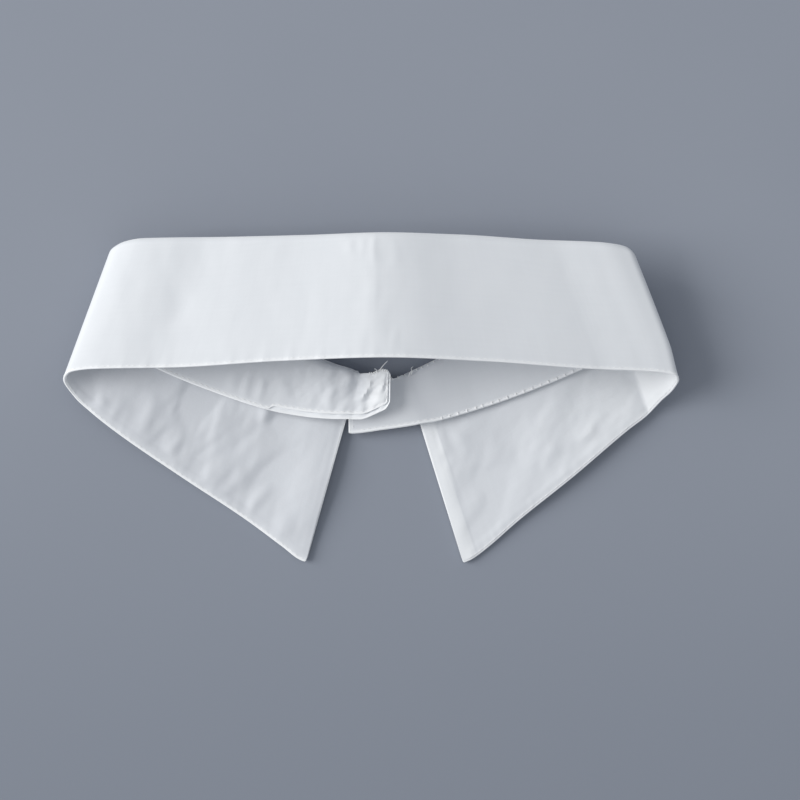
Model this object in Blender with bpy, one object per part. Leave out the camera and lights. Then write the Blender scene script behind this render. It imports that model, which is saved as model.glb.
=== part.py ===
"""Detachable shirt collar, buttoned into a ring and laid down flat, seen with its back on top.

The leaf (upper and under collar) rolls over the top of the band (inner and outer stand).
Every ply is a wall moved in from one skin: the leaf's outer face, round the roll, and down
the band's neck face. The skin is worked out from the sections in SECTIONS, one row for each
place along the neck, from the left front point round the back to the right front point.

Lengths in the tables are millimetres. X runs to the right, Y towards the roll line, Z up.
"""
import math
from collections import namedtuple

import bmesh
import bpy
import numpy as np

MM = 0.001

# Cloth and sewing, in millimetres
PLY = 1.0               # one ply with its interlining
PLY_GAP = 0.3           # between the plies, and at every seam
SEAM_BELOW_ROLL = 1.0   # from the end of the roll to the seam that joins leaf and band
SEAM_GRADING = 1.8      # how much lower the outer stand's top edge is trimmed
LEFT_END_Z = 8.1        # neck face of the band's upper, left-hand end
RIGHT_END_Z = 5.5       # neck face of the band's lower, right-hand end

# How finely the walls are divided
PANEL_STEP = 7.0        # longest stretch of neck between two sections
STEPS_IN_A_BEND = 3     # fewest sections between two rows of the table
LEAF_STRIPS = 5
ROLL_STRIPS = 7
BAND_STRIPS = 4

# Button
BUTTON_DIAMETER = 10.5
BUTTON_THICKNESS = 2.0
BUTTON_RIM_WIDTH = 1.6
BUTTON_DISH_DEPTH = 0.5
BUTTON_HOLE_DIAMETER = 1.7
BUTTON_HOLE_SPACING = 2.6
BUTTON_SIDES = 40
BUTTON_CENTRE = (-0.4, -0.9)

# The middle of the collar's outline, which becomes the origin
OUTLINE_MIDDLE = (0.2, -0.19)

Section = namedtuple("Section", "place roll_x roll_y roll_z roll_r leaf_x leaf_y leaf_z "
                                "band_x band_y band_z")

# roll: where the leaf's outer face starts to roll. roll_r: radius of that roll.
# leaf: the leaf's free edge. band: the band's lower edge on its neck face.
SECTIONS = [Section(*row) for row in (
    ("left front edge",  -4.9,  6.0,  0.0, 4.05,  -22.4, -56.4,  0.0,   -7.2,  -7.0,  8.1),
    ("left point",       -6.4,  6.5,  0.0, 4.05,  -23.5, -58.3,  0.0,   -8.8,  -7.0,  8.1),
    ("left point turn",  -7.8,  6.9,  0.0, 4.05,  -25.7, -58.0,  0.0,  -10.4,  -7.0,  8.1),
    ("left point side", -13.1,  8.6,  0.0, 3.90,  -31.8, -53.7,  0.0,  -16.1,  -6.8,  7.8),
    ("left front",      -26.7, 14.9,  0.0, 3.10,  -45.5, -43.0,  0.0,  -31.2,  -4.9,  6.2),
    ("left front",      -50.9, 26.8,  0.0, 2.75,  -67.8, -27.9,  0.0,  -60.6,   4.3,  5.2),
    ("left front",      -73.2, 38.2,  0.0, 2.75,  -89.7, -12.8,  0.0,  -84.6,  14.8,  5.2),
    ("left turn",       -85.4, 45.0,  0.2, 2.60,  -99.4,  -5.2,  0.2,  -89.9,  17.5,  5.5),
    ("left turn",       -91.6, 49.0,  3.0, 2.50, -106.0,   0.9,  2.6,  -92.8,  20.0,  6.9),
    ("left side",       -93.0, 51.9,  8.5, 2.50, -109.5,   6.8,  8.0,  -93.5,  22.3,  9.2),
    ("left turn",       -89.8, 53.6, 14.0, 2.50, -107.1,   9.6, 13.0,  -91.8,  23.6, 11.6),
    ("left turn",       -81.3, 54.3, 17.4, 2.60,  -98.4,  10.8, 16.2,  -84.8,  24.3, 12.7),
    ("left back",       -54.5, 54.5, 20.6, 2.75,  -68.7,  11.3, 20.0,  -57.7,  24.9, 15.6),
    ("left back",       -24.4, 54.9, 24.0, 2.75,  -31.4,  13.5, 24.8,  -25.3,  25.4, 19.0),
    ("centre back",       5.5, 55.6, 28.0, 2.75,    5.5,  14.7, 29.0,    5.4,  25.8, 22.5),
    ("right back",       31.8, 55.2, 25.0, 2.75,   40.5,  13.4, 25.0,   35.4,  25.4, 19.8),
    ("right back",       61.8, 53.5, 22.0, 2.75,   77.7,  10.8, 20.2,   65.5,  24.2, 16.1),
    ("right turn",       81.3, 52.7, 19.2, 2.60,   99.2,   9.9, 16.6,   88.0,  22.7, 13.1),
    ("right turn",       90.3, 51.6, 15.2, 2.50,  107.8,   8.7, 13.8,   94.8,  21.5, 11.5),
    ("right side",       93.1, 50.0, 10.8, 2.50,  109.9,   6.6, 10.6,   97.2,  19.4,  9.6),
    ("right turn",       91.7, 47.9,  6.2, 2.50,  108.3,   3.4,  7.0,   95.3,  17.7,  8.2),
    ("right turn",       83.6, 43.5,  2.0, 2.60,  104.7,  -0.2,  3.4,   90.8,  16.4,  7.2),
    ("right front",      75.5, 39.8,  0.2, 2.75,   99.6,  -5.6,  0.3,   85.1,  14.6,  6.2),
    ("right front",      68.3, 37.2,  0.0, 2.75,   92.1, -11.4,  0.0,   79.4,  12.3,  5.6),
    ("right front",      54.6, 28.4,  0.0, 2.75,   73.7, -28.1,  0.0,   65.5,   6.2,  5.4),
    ("right front",      34.5, 16.7,  0.0, 2.75,   54.3, -44.1,  0.0,   42.2,  -2.5,  5.4),
    ("right point side", 17.9,  8.1,  0.0, 2.75,   40.2, -54.9,  0.0,   22.5,  -8.1,  5.5),
    ("right point turn", 15.9,  7.2,  0.0, 2.75,   35.9, -57.8,  0.0,   20.4,  -8.4,  5.5),
    ("right point",      14.7,  6.6,  0.0, 2.75,   33.7, -58.6,  0.0,   19.1,  -8.6,  5.5),
    ("right front edge", 13.3,  6.0,  0.0, 2.75,   32.8, -56.9,  0.0,   17.9,  -8.8,  5.5),
)]

# The band's ends, past the leaf: a row for each cut across the band, outermost last
BandCut = namedtuple("BandCut", "top_x top_y low_x low_y")
LEFT_END = [BandCut(*row) for row in (
    (-3.4,  9.1, -6.3, -7.1),
    (-1.4,  9.6, -3.9, -7.1),
    (1.4,  10.0, -0.7, -6.3),
    (3.9,  10.7,  2.8, -4.7),
    (6.2,  10.4,  5.5, -3.4),
    (7.3,   9.1,  7.1, -0.9),
)]
RIGHT_END = [BandCut(*row) for row in (
    (11.9,  8.0, 16.6, -9.1),
    (9.6,   7.7, 14.3, -9.5),
    (0.7,   6.3,  4.6, -10.9),
    (-7.0,  4.7, -6.4, -12.2),
    (-8.1,  3.6, -7.8, -11.0),
)]

# Colours from the cloth and the button
CLOTH_COLOUR = (0.80, 0.82, 0.87, 1.0)
BUTTON_COLOUR = (0.86, 0.86, 0.84, 1.0)


def clear_scene():
    """Remove whatever the file opened with."""
    for item in list(bpy.data.objects):
        bpy.data.objects.remove(item, do_unlink=True)


def material(name, colour, roughness):
    """A plain material with the piece's colour and roughness."""
    made = bpy.data.materials.new(name)
    made.use_nodes = True
    shader = made.node_tree.nodes["Principled BSDF"]
    shader.inputs["Base Color"].default_value = colour
    shader.inputs["Roughness"].default_value = roughness
    shader.inputs["Metallic"].default_value = 0.0
    made.diffuse_color = colour
    return made


def unit(vectors):
    """Vectors scaled to length one."""
    return vectors / np.linalg.norm(vectors, axis=-1, keepdims=True)


def column(*names):
    """The named columns of SECTIONS side by side."""
    return np.array([[getattr(row, name) for name in names] for row in SECTIONS])


def smooth_through(knots, values, at):
    """A curve through the values that never swings past them.

    Cubic Hermite pieces whose slope at a knot is the harmonic mean of the slopes beside it,
    or level where those slopes differ in sign, so that a flat stretch stays exactly flat.
    """
    steps = np.diff(knots)[:, None]
    slopes = np.diff(values, axis=0) / steps
    before, after = slopes[:-1], slopes[1:]
    same_way = before * after > 0
    total = np.where(same_way, before + after, 1.0)
    inner = np.where(same_way, 2 * before * after / total, 0.0)
    tangents = np.vstack([slopes[:1], inner, slopes[-1:]])
    piece = np.clip(np.searchsorted(knots, at, side="right") - 1, 0, len(knots) - 2)
    step = steps[piece]
    t = ((at - knots[piece])[:, None]) / step
    return ((1 + 2 * t) * (1 - t) ** 2 * values[piece]
            + t * (1 - t) ** 2 * step * tangents[piece]
            + t ** 2 * (3 - 2 * t) * values[piece + 1]
            - t ** 2 * (1 - t) * step * tangents[piece + 1])


def along_the_neck():
    """Distance round the collar at each row of SECTIONS, and at each section that is built."""
    roll = column("roll_x", "roll_y", "roll_z")
    leaf = column("leaf_x", "leaf_y", "leaf_z")
    lengths = (np.linalg.norm(np.diff(roll, axis=0), axis=1)
               + np.linalg.norm(np.diff(leaf, axis=0), axis=1)) / 2
    knots = np.concatenate([[0.0], np.cumsum(lengths)])
    places = []
    for start, length in zip(knots[:-1], lengths):
        count = max(STEPS_IN_A_BEND if length > PANEL_STEP / 2 else 1,
                    math.ceil(length / PANEL_STEP))
        places.extend(start + length * np.arange(count) / count)
    return knots, np.array(places + [knots[-1]])


def leaf_skin(places, roll, leaf, radius):
    """The leaf's outer face, from its free edge to the end of the roll, and its inward normals.

    Straight from the edge to the roll, then a half circle about a centre that lies one
    radius inside the collar. The normals turn evenly from the edge's to the roll's.
    """
    ruling = leaf - roll
    inward = unit(np.cross(np.gradient(roll, places, axis=0), ruling))
    inward_at_edge = unit(np.cross(np.gradient(leaf, places, axis=0), ruling))
    outward = unit(np.cross(np.gradient(roll, places, axis=0), inward))
    points, normals = [], []
    for share in np.linspace(0, 1, LEAF_STRIPS, endpoint=False):
        points.append(leaf + (roll - leaf) * share)
        normals.append(unit(inward_at_edge * (1 - share) + inward * share))
    centre = roll + inward * radius
    for angle in np.linspace(0, math.pi, ROLL_STRIPS + 1):
        towards_centre = inward * math.cos(angle) - outward * math.sin(angle)
        points.append(centre - towards_centre * radius)
        normals.append(towards_centre)
    return np.stack(points, axis=1), np.stack(normals, axis=1)


def band_skin(places, top, low, drops):
    """The band's neck face at the given distances, or shares, down from its top line."""
    ruling = low - top
    length = np.linalg.norm(ruling, axis=1, keepdims=True)
    inward_top = unit(np.cross(ruling, np.gradient(top, places, axis=0)))
    inward_low = unit(np.cross(ruling, np.gradient(low, places, axis=0)))
    points, normals = [], []
    for distance, share in drops:
        down = distance / length + share * (1 - distance / length)
        points.append(top + ruling * down)
        normals.append(unit(inward_top * (1 - down) + inward_low * down))
    return np.stack(points, axis=1), np.stack(normals, axis=1)


def end_rows(cuts, level, drops):
    """Grid rows across the flat end of the band, past the leaf, and their normals."""
    top = np.array([[cut.top_x, cut.top_y, level] for cut in cuts])
    low = np.array([[cut.low_x, cut.low_y, level] for cut in cuts])
    shares = np.array([share for _, share in drops])[None, :, None]
    points = top[:, None] + (low - top)[:, None] * shares
    normals = np.zeros_like(points)
    normals[..., 2] = -1.0
    return points, normals


def wall(name, points, normals, outer, inner, cloth):
    """A closed wall between two depths inward from the skin.

    Both faces are grids of the skin's points moved along its normals, joined round the rim.
    """
    rows, columns = points.shape[:2]
    faces_out = (points + normals * outer).reshape(-1, 3)
    faces_in = (points + normals * inner).reshape(-1, 3)
    verts = np.concatenate([faces_out, faces_in]) * MM
    verts[:, 0] -= OUTLINE_MIDDLE[0] * MM
    verts[:, 1] -= OUTLINE_MIDDLE[1] * MM
    index = np.arange(rows * columns).reshape(rows, columns)
    near = np.stack([index[:-1, :-1], index[1:, :-1], index[1:, 1:], index[:-1, 1:]], axis=-1)
    rim = np.concatenate([index[0, :-1], index[:-1, -1], index[-1, :0:-1], index[:0:-1, 0]])
    back = rows * columns
    quads = [tuple(quad) for quad in near.reshape(-1, 4).tolist()]
    quads += [tuple(corner + back for corner in reversed(quad)) for quad in quads]
    for here, after in zip(rim.tolist(), np.roll(rim, -1).tolist()):
        quads.append((here, after, after + back, here + back))
    mesh = bpy.data.meshes.new(name)
    mesh.from_pydata([tuple(vert) for vert in verts.tolist()], [], quads)
    return finish(name, mesh, cloth)


def finish(name, mesh, look):
    """Turn the faces outward, shade them smooth and make the object."""
    shaped = bmesh.new()
    shaped.from_mesh(mesh)
    bmesh.ops.recalc_face_normals(shaped, faces=shaped.faces)
    shaped.to_mesh(mesh)
    shaped.free()
    mesh.materials.append(look)
    mesh.shade_smooth()
    mesh.set_sharp_from_angle(angle=math.radians(35))
    made = bpy.data.objects.new(name, mesh)
    bpy.context.scene.collection.objects.link(made)
    return made


def build_cloth(cloth):
    """The four plies: upper and under collar, inner and outer stand."""
    knots, places = along_the_neck()
    roll = smooth_through(knots, column("roll_x", "roll_y", "roll_z"), places)
    leaf = smooth_through(knots, column("leaf_x", "leaf_y", "leaf_z"), places)
    low = smooth_through(knots, column("band_x", "band_y", "band_z"), places)
    radius = smooth_through(knots, column("roll_r"), places)

    leaf_points, leaf_normals = leaf_skin(places, roll, leaf, radius)
    top = leaf_points[:, -1]
    seam_points, seam_normals = band_skin(places, top, low, [(SEAM_BELOW_ROLL, 0.0)])
    leaf_points = np.concatenate([leaf_points, seam_points], axis=1)
    leaf_normals = np.concatenate([leaf_normals, seam_normals], axis=1)

    second = PLY + PLY_GAP
    wall("upper_collar", leaf_points, leaf_normals, 0.0, PLY, cloth)
    wall("under_collar", leaf_points, leaf_normals, second, second + PLY, cloth)
    seam = SEAM_BELOW_ROLL + PLY_GAP
    for name, depth, trimmed in (("inner_stand", 0.0, 0.0), ("outer_stand", second, SEAM_GRADING)):
        drops = [(seam + trimmed, share) for share in np.linspace(0, 1, BAND_STRIPS + 1)]
        band_points, band_normals = band_skin(places, top, low, drops)
        left_points, left_normals = end_rows(LEFT_END[::-1], LEFT_END_Z, drops)
        right_points, right_normals = end_rows(RIGHT_END, RIGHT_END_Z, drops)
        wall(name, np.concatenate([left_points, band_points, right_points]),
             np.concatenate([left_normals, band_normals, right_normals]),
             depth, depth + PLY, cloth)


def build_button(look):
    """A turned disc with a raised rim and a dished face, face down, and four sewing holes."""
    rim = BUTTON_DIAMETER / 2
    dish = rim - BUTTON_RIM_WIDTH
    top = RIGHT_END_Z - 2 * PLY - 2 * PLY_GAP
    bottom = top - BUTTON_THICKNESS
    profile = [(0.0, top), (rim - 0.5, top), (rim, top - 0.6), (rim, bottom + 0.5),
               (rim - 0.5, bottom), (dish, bottom), (dish - 0.6, bottom + BUTTON_DISH_DEPTH),
               (0.0, bottom + BUTTON_DISH_DEPTH)]
    shaped = bmesh.new()
    corners = [shaped.verts.new((radius * MM, 0.0, height * MM)) for radius, height in profile]
    edges = [shaped.edges.new(pair) for pair in zip(corners[:-1], corners[1:])]
    bmesh.ops.spin(shaped, geom=corners + edges, cent=(0, 0, 0), axis=(0, 0, 1),
                   angle=math.tau, steps=BUTTON_SIDES, use_merge=True)
    bmesh.ops.remove_doubles(shaped, verts=shaped.verts, dist=0.00001)
    mesh = bpy.data.meshes.new("button")
    shaped.to_mesh(mesh)
    shaped.free()
    button = finish("button", mesh, look)
    button.location = ((BUTTON_CENTRE[0] - OUTLINE_MIDDLE[0]) * MM,
                       (BUTTON_CENTRE[1] - OUTLINE_MIDDLE[1]) * MM, 0.0)
    for number in range(4):
        angle = math.radians(45 + 90 * number)
        reach = BUTTON_HOLE_SPACING / math.sqrt(2) * MM
        bpy.ops.mesh.primitive_cylinder_add(
            vertices=12, radius=BUTTON_HOLE_DIAMETER / 2 * MM, depth=3 * BUTTON_THICKNESS * MM,
            location=(button.location.x + reach * math.cos(angle),
                      button.location.y + reach * math.sin(angle), (top + bottom) / 2 * MM))
        drill = bpy.context.object
        drill.name = f"drill_{number}"
        drill.hide_render = True
        drill.display_type = "WIRE"
        cut = button.modifiers.new(f"hole_{number}", "BOOLEAN")
        cut.operation = "DIFFERENCE"
        cut.object = drill


def main():
    """Clear the file and build the collar."""
    clear_scene()
    build_cloth(material("white_poplin", CLOTH_COLOUR, 0.8))
    build_button(material("pearl_plastic", BUTTON_COLOUR, 0.3))


main()
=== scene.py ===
import math
from collections import namedtuple

import bpy
import numpy as np
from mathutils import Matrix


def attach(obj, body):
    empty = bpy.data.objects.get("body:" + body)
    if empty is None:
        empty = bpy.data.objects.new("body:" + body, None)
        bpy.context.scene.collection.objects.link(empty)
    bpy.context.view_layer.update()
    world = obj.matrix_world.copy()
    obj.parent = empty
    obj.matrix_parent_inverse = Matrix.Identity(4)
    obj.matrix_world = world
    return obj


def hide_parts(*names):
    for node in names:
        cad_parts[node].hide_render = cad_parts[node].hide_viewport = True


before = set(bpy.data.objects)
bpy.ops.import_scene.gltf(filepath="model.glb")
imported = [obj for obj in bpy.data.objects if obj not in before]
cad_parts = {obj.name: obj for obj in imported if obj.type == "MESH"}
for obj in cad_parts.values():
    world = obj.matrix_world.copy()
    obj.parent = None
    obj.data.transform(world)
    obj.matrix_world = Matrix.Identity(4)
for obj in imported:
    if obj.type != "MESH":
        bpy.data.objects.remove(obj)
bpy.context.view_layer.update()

MM = 0.001


def table(kind, rows):
    """Rows of values as rows with named columns."""
    return [kind(*row) for row in rows]


# The collar's outline middle in the tables' axes, and the sewing, in millimetres
OUTLINE_MIDDLE = (0.2, -0.19)
SEAM_TURN = math.radians(115.0)    # how far round the roll the leaf meets the band
SEAM_GAP = 0.02
LEFT_END_Z = 8.1
RIGHT_END_Z = 5.5

# Cloth as sewn: ply thickness, the extra of the turnings inside each edge, and the edge's roundness
PLY = 0.42
TURNING_EXTRA = 0.09
TURNING_WIDTH = 4.2
FRONT_TURNING_EXTRA = 0.11
EDGE_ROUND = 0.36
LOWEST = 0.02           # how close the cloth lies to the surface under it
FAVOUR = 0.7            # how far the upper collar turns over the edge onto the underside
UNDER_PUFF = 0.3        # how far the under collar stands off the upper one inside its edges
LEFT_CRUMPLE = 1.22     # how much more the left point is crumpled
LEFT_END_LEDGE = 1.5    # how far the band's neck-side ply stops short of the left end
SIDE_BOW = 1.2          # how far the right side bows out, about a place round the neck
SIDE_BOW_AT = 320.0

# How finely the cloth is divided
ROW_STEP = 0.85
PANEL_COLUMNS = 44
BAND_COLUMNS = 26
ROLL_COLUMNS = 20
EDGE_COLUMNS = (0.0, 0.1, 0.25, 0.45, 0.7, 1.0, 1.4, 1.9, 2.5, 3.2, 4.0, 5.0, 6.2, 7.6)
SEAM_COLUMNS = (0.0, 0.1, 0.25, 0.45, 0.7, 1.0, 1.35, 1.7, 2.1, 2.5, 2.9, 3.3, 3.7, 4.2, 4.7)

Section = namedtuple("Section", "roll_x roll_y roll_z roll_r leaf_x leaf_y leaf_z band_x band_y band_z")

# roll: where the leaf's outer face starts to roll. roll_r: radius of that roll.
# leaf: the leaf's free edge. band: the band's lower edge on its neck face. The rows go round the
# ring, from the left front edge by the back to the right front edge.
SECTIONS = table(Section, [
    ( -4.8,  6.2,  0.0, 4.05,  -22.4, -56.4,  0.0,  -7.2, -7.0,  8.1),
    ( -6.4,  6.5,  0.0, 4.05,  -23.5, -58.3,  0.0,  -8.8, -7.0,  8.1),  # left point
    ( -7.7,  7.1,  0.0, 4.05,  -25.4, -57.6,  0.0, -10.4, -7.0,  8.1),
    (-13.0,  8.9,  0.0, 3.90,  -31.4, -53.1,  0.0, -16.1, -6.8,  7.8),
    (-26.6, 15.3,  0.0, 3.10,  -45.4, -42.8,  0.0, -31.2, -4.9,  6.2),
    (-50.9, 26.8,  0.0, 2.75,  -67.8, -27.9,  0.0, -60.6,  4.3,  5.2),
    (-73.2, 38.2,  0.0, 2.75,  -89.7, -12.8,  0.0, -84.6, 14.8,  5.2),
    (-85.4, 45.0,  0.2, 2.60,  -99.4,  -5.2,  0.2, -89.9, 17.5,  5.5),
    (-91.6, 49.0,  3.0, 2.50, -106.0,   0.9,  2.6, -92.8, 20.0,  6.9),
    (-93.0, 51.9,  8.5, 2.50, -109.5,   6.8,  8.0, -93.5, 22.3,  9.2),  # left side
    (-89.8, 53.6, 14.0, 2.50, -107.1,   9.6, 13.0, -91.8, 23.6, 11.6),
    (-81.3, 54.7, 17.4, 2.60,  -98.4,  10.8, 16.2, -84.8, 24.3, 12.7),
    (-54.5, 54.8, 20.6, 2.75,  -68.7,  11.3, 20.0, -57.7, 24.9, 15.6),
    (-24.4, 55.3, 24.0, 2.75,  -31.4,  13.5, 24.8, -25.3, 25.4, 19.0),
    (  5.5, 56.0, 28.0, 2.75,    5.5,  14.7, 29.0,   5.4, 25.8, 22.5),  # centre back
    ( 31.8, 55.4, 25.0, 2.75,   40.5,  13.4, 25.0,  35.4, 25.4, 19.8),
    ( 61.8, 53.6, 22.0, 2.75,   77.7,  10.8, 20.2,  65.5, 24.2, 16.1),
    ( 81.3, 53.1, 19.2, 2.60,   99.2,   9.9, 16.6,  88.0, 22.7, 13.1),
    ( 90.8, 52.1, 15.2, 2.50,  107.8,   8.7, 13.8,  94.8, 21.5, 11.5),
    ( 93.1, 50.0, 10.8, 2.50,  109.9,   6.6, 10.6,  97.2, 19.4,  9.6),  # right side
    ( 91.7, 47.9,  6.2, 2.50,  108.3,   3.4,  7.0,  95.3, 17.7,  8.2),
    ( 83.6, 43.5,  2.0, 2.60,  104.7,  -0.2,  3.4,  90.8, 16.4,  7.2),
    ( 75.5, 39.8,  0.2, 2.75,   99.6,  -5.6,  0.3,  85.1, 14.6,  6.2),
    ( 68.3, 37.2,  0.0, 2.75,   92.1, -11.4,  0.0,  79.4, 12.3,  5.6),
    ( 54.6, 28.4,  0.0, 2.75,   73.2, -27.5,  0.0,  65.5,  6.2,  5.4),
    ( 34.4, 16.9,  0.0, 2.75,   53.6, -43.3,  0.0,  42.2, -2.5,  5.4),
    ( 17.7,  8.6,  0.0, 2.75,   40.2, -54.9,  0.0,  22.5, -8.1,  5.5),
    ( 15.7,  7.7,  0.0, 2.75,   35.9, -57.8,  0.0,  20.4, -8.4,  5.5),
    ( 14.5,  7.1,  0.0, 2.75,   33.7, -58.6,  0.0,  19.1, -8.6,  5.5),  # right point
    ( 13.1,  6.5,  0.0, 2.75,   32.8, -56.9,  0.0,  17.9, -8.8,  5.5),
])

# The band's ends, past the leaf: a row for each cut across the band, outermost last
BandCut = namedtuple("BandCut", "top_x top_y low_x low_y")
LEFT_END = table(BandCut, [
    (-3.4, 9.4, -6.3, -7.1), (-1, 9.9, -3.6, -7.1), (1.1, 9.7, -0.9, -6.4), (2.6, 10.4, 1.2, -5.5),
    (4.3, 10.9, 3.3, -4.5), (6.2, 10.6, 5.5, -3.4), (7.3, 9.1, 7.1, -0.9),
])
RIGHT_END = table(BandCut, [
    (11.4, 9, 16.6, -9.1), (9.4, 8.4, 14.3, -9.5), (0.7, 6.6, 4.6, -10.9), (-7, 4.7, -6.4, -12.2),
    (-7.9, 4, -7.7, -12),
])

# The band's neck face lies deeper than the roll's line: how deep at its lower edge, round the neck
BandSag = namedtuple("BandSag", "along depth")
BAND_SAG = table(BandSag, [
    (-14, 0.35), (0, 0.6), (12, 1.3), (32, 2.1), (75, 2.1), (104, 0.9), (325, 0.5), (350, 0.4),
    (380, 0.9), (398, 1.5), (410, 1.2), (421, 0.8), (436, 0.7),
])

# How white the band's neck face shows, round the neck, at the seam and at the lower edge: partly
# the plies beneath it, partly painted shade beside the band's left end and under the back, and
# painted highlight where the band faces the lamp. Then the same of the under collar, at its middle,
# with painted shade under the back and painted highlight on the right leaf.
BAND_PLIES_AND_PAINTED_LIGHT = [(-6.0, 1.6, 1.6), (-2.5, 0.72, 0.72), (30.0, 0.62, 0.62), (300.0, 0.70, 0.70),
               (345.0, 1.15, 0.95), (363.0, 1.10, 0.90), (381.0, 1.0, 0.62), (399.0, 0.64, 0.52),
               (408.0, 0.42, 0.42), (419.0, 0.30, 0.38), (427.0, 1.1, 0.48), (438.0, 0.95, 0.55)]
LEAF_PLIES_AND_PAINTED_LIGHT = [(0.0, 0.31), (50.0, 0.31), (80.0, 0.22), (104.0, 0.22), (130.0, 0.55), (310.0, 0.55),
               (335.0, 1.3), (350.0, 1.25), (362.0, 1.02), (372.0, 0.72), (395.0, 0.48), (421.0, 0.60)]

# How far the cloth stands up from the solid's form, round the neck: at the leaf's free edge
# and at the roll, from where the band goes with it
Rise = namedtuple("Rise", "along at_edge at_roll")
RISES = table(Rise, [
    (-13.6, 3.7, 3.7), (-8, 2.3, 2.3), (0, 1, 1.3), (12, 0.7, 1.5), (22, 0.3, 1.7), (42, 1.1, 2.4),
    (62, 2.3, 3.2), (77, 3.4, 3.8), (91, 4.1, 4), (99.5, 3, 2.8), (108.5, 1.8, 1.6), (120, 0.4, 0.4),
    (131, 0.3, 0.3), (149, -0.6, -0.6), (168, 0, 0), (288, 0, 0), (302, 1.1, 1.2), (312, 2.7, 3.3),
    (316, 3.7, 4.7), (318.6, 4.3, 5.5), (320.4, 3.4, 4.4), (322.6, 2, 1.9), (328, 1.9, 2.2),
    (338, 2, 3.2), (352, 2.2, 2.8), (366, 2, 1.9), (380, 1.7, 1.1), (398, 1.2, 0.5), (409, 0.9, 0.7),
    (421, 0.6, 0.9), (430, 0.4, 0.4), (438, 0, -0.4),
])

# Creases: a soft ridge, or a trough where height is negative, along a straight run
Crease = namedtuple("Crease", "from_x from_y to_x to_y width height")
BACK_CREASES = table(Crease, [
    (1.7, 57.2, 1.4, 48.4, 1.6, 0.35), (-2.5, 56.9, -2.5, 49.8, 1.5, 0.3),
    (-6.7, 56.2, -6.3, 50.5, 1.5, 0.25), (-0.4, 48.4, -1.4, 19.3, 2.5, 0.25),
    (4.5, 35.1, 4.9, 15.4, 2.2, 0.22), (8.4, 56.2, 9.1, 46.3, 1.8, 0.2),
    (8.7, 24.6, 9.1, 15.4, 1.6, 0.25), (-68.1, 40.4, -66, 26.3, 5, -0.58),
    (-61.5, 35.1, -57.9, 22.8, 4, 0.2), (-38.6, 38.6, -37.9, 24.6, 6, -0.15),
    (45.6, 35.1, 52.6, 19.3, 9, -0.25),
])
UNDERSIDE_CREASES = table(Crease, [
    (-83.4, -13.3, -76.2, 1.4, 2.6, 0.55), (-72.6, -23.4, -66.1, -9.4, 2.8, 0.6),
    (-61.4, -17.6, -56.4, 1.4, 3.5, -0.12), (-48.5, -36, -36, -17, 3.2, 0.42),
    (-52.8, -34.9, -44.5, -25.2, 2.4, 0.55), (-44.5, -41.4, -35.5, -30.2, 2.2, 0.6),
    (-42.4, -22.3, -17.6, -9.4, 4.5, 0.25), (-47, -14.4, -25.5, -6.5, 3.5, -0.35),
    (-98.5, -2.5, -94.5, 0, 1.8, 0.4), (-29.1, -36, -19, -25.2, 4, 0.1),
    (-34.5, -50.3, -29.1, -41.4, 2.5, 0.35), (-93.8, -7.2, -87.3, -0.7, 2.4, 0.35),
    (-39.1, -8.2, -36.9, -1.8, 2, 0.8), (-31, -12, -33.5, -4.5, 2.4, -0.5),
    (74.9, -14.7, 81, -10.1, 1.4, 0.6), (55.1, -18.7, 76.3, 2.9, 4.5, 0.55),
    (41.8, -25.2, 47.2, -14.4, 3, 0.45), (51.5, -25.2, 59.4, -12.9, 4, -0.4),
    (24.9, -8.6, 28.1, -20.1, 1.6, 0.4), (29.2, -10.8, 35.7, -18.7, 2.4, 0.3),
    (35.7, -43.2, 41.4, -33.1, 3.5, 0.35), (62.6, -25.2, 68, -16.2, 2.6, 0.35),
    (82.4, -3.6, 90.3, 1.4, 3.2, -0.3), (86, -9, 93.2, -2.9, 2, 0.3),
])
CORNER_FOLDS = table(Crease, [
    (94.3, 10.8, 99.4, -3.4, 3.2, -0.95), (-100.2, 10, -98.4, 0.8, 2.6, -0.25),
])
FRONT_BAND_CREASES = table(Crease, [
    (-42.4, 10.4, -45.3, 0.4, 1.3, 0.5), (-38.1, 7.9, -40.6, -1.1, 1.3, 0.55),
    (-47.1, 10, -50.3, 2.9, 1.8, 0.35), (-30.6, 7.1, -32.4, -0.7, 2.4, 0.3),
    (-12, 5, -15.2, -2.5, 1.6, 0.65), (-6.3, 10.4, -9.2, 2.1, 1.5, 0.55),
    (-2, 9.3, -6.7, 0.7, 2.1, -0.9), (0.8, 6.8, -3.8, -0.7, 1, 1.25), (4.8, 9.7, 3, 1.4, 1.4, 0.7),
    (1.2, 1.8, 4.8, -1.4, 1.5, 0.6), (-23.1, 10, -25.2, 2.1, 3, -0.3),
])
BACK_BAND_CREASES = table(Crease, [
    (-44, 46, -41.5, 30, 2.2, 0.3), (-12, 50, -9, 33, 3, -0.3), (22, 47, 24.5, 28, 2.4, 0.3),
    (58, 46, 55, 31, 2.8, 0.25),
])

# The button's place in the tables' axes, and the faces of the right end about its buttonhole
BUTTON_CENTRE = (-0.4, -0.9)
BUTTON_HOLE_SPACING = 2.6
RIGHT_HOLE_LOW_Z = 3.05
RIGHT_HOLE_HIGH_Z = 4.15

# Thread ends left uncut at the top of the band's left end and beside it
LOOSE_ENDS = [
    [(2.2, 9.2, 9.6), (3.2, 10.6, 10.6), (4.6, 12.4, 11.3), (6.2, 14.0, 11.6)],
    [(2.6, 9.2, 9.8), (2.3, 10.3, 10.6), (1.9, 10.9, 10.8), (1.4, 11.2, 10.8)],
    [(14.3, 8.8, 6.0), (14.8, 9.9, 6.8), (14.5, 11.2, 7.1), (15.2, 12.0, 7.1)],
    [(13.6, 8.3, 6.0), (13.9, 9.4, 6.7), (14.6, 10.0, 6.9), (15.3, 10.2, 6.6)],
]

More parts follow.
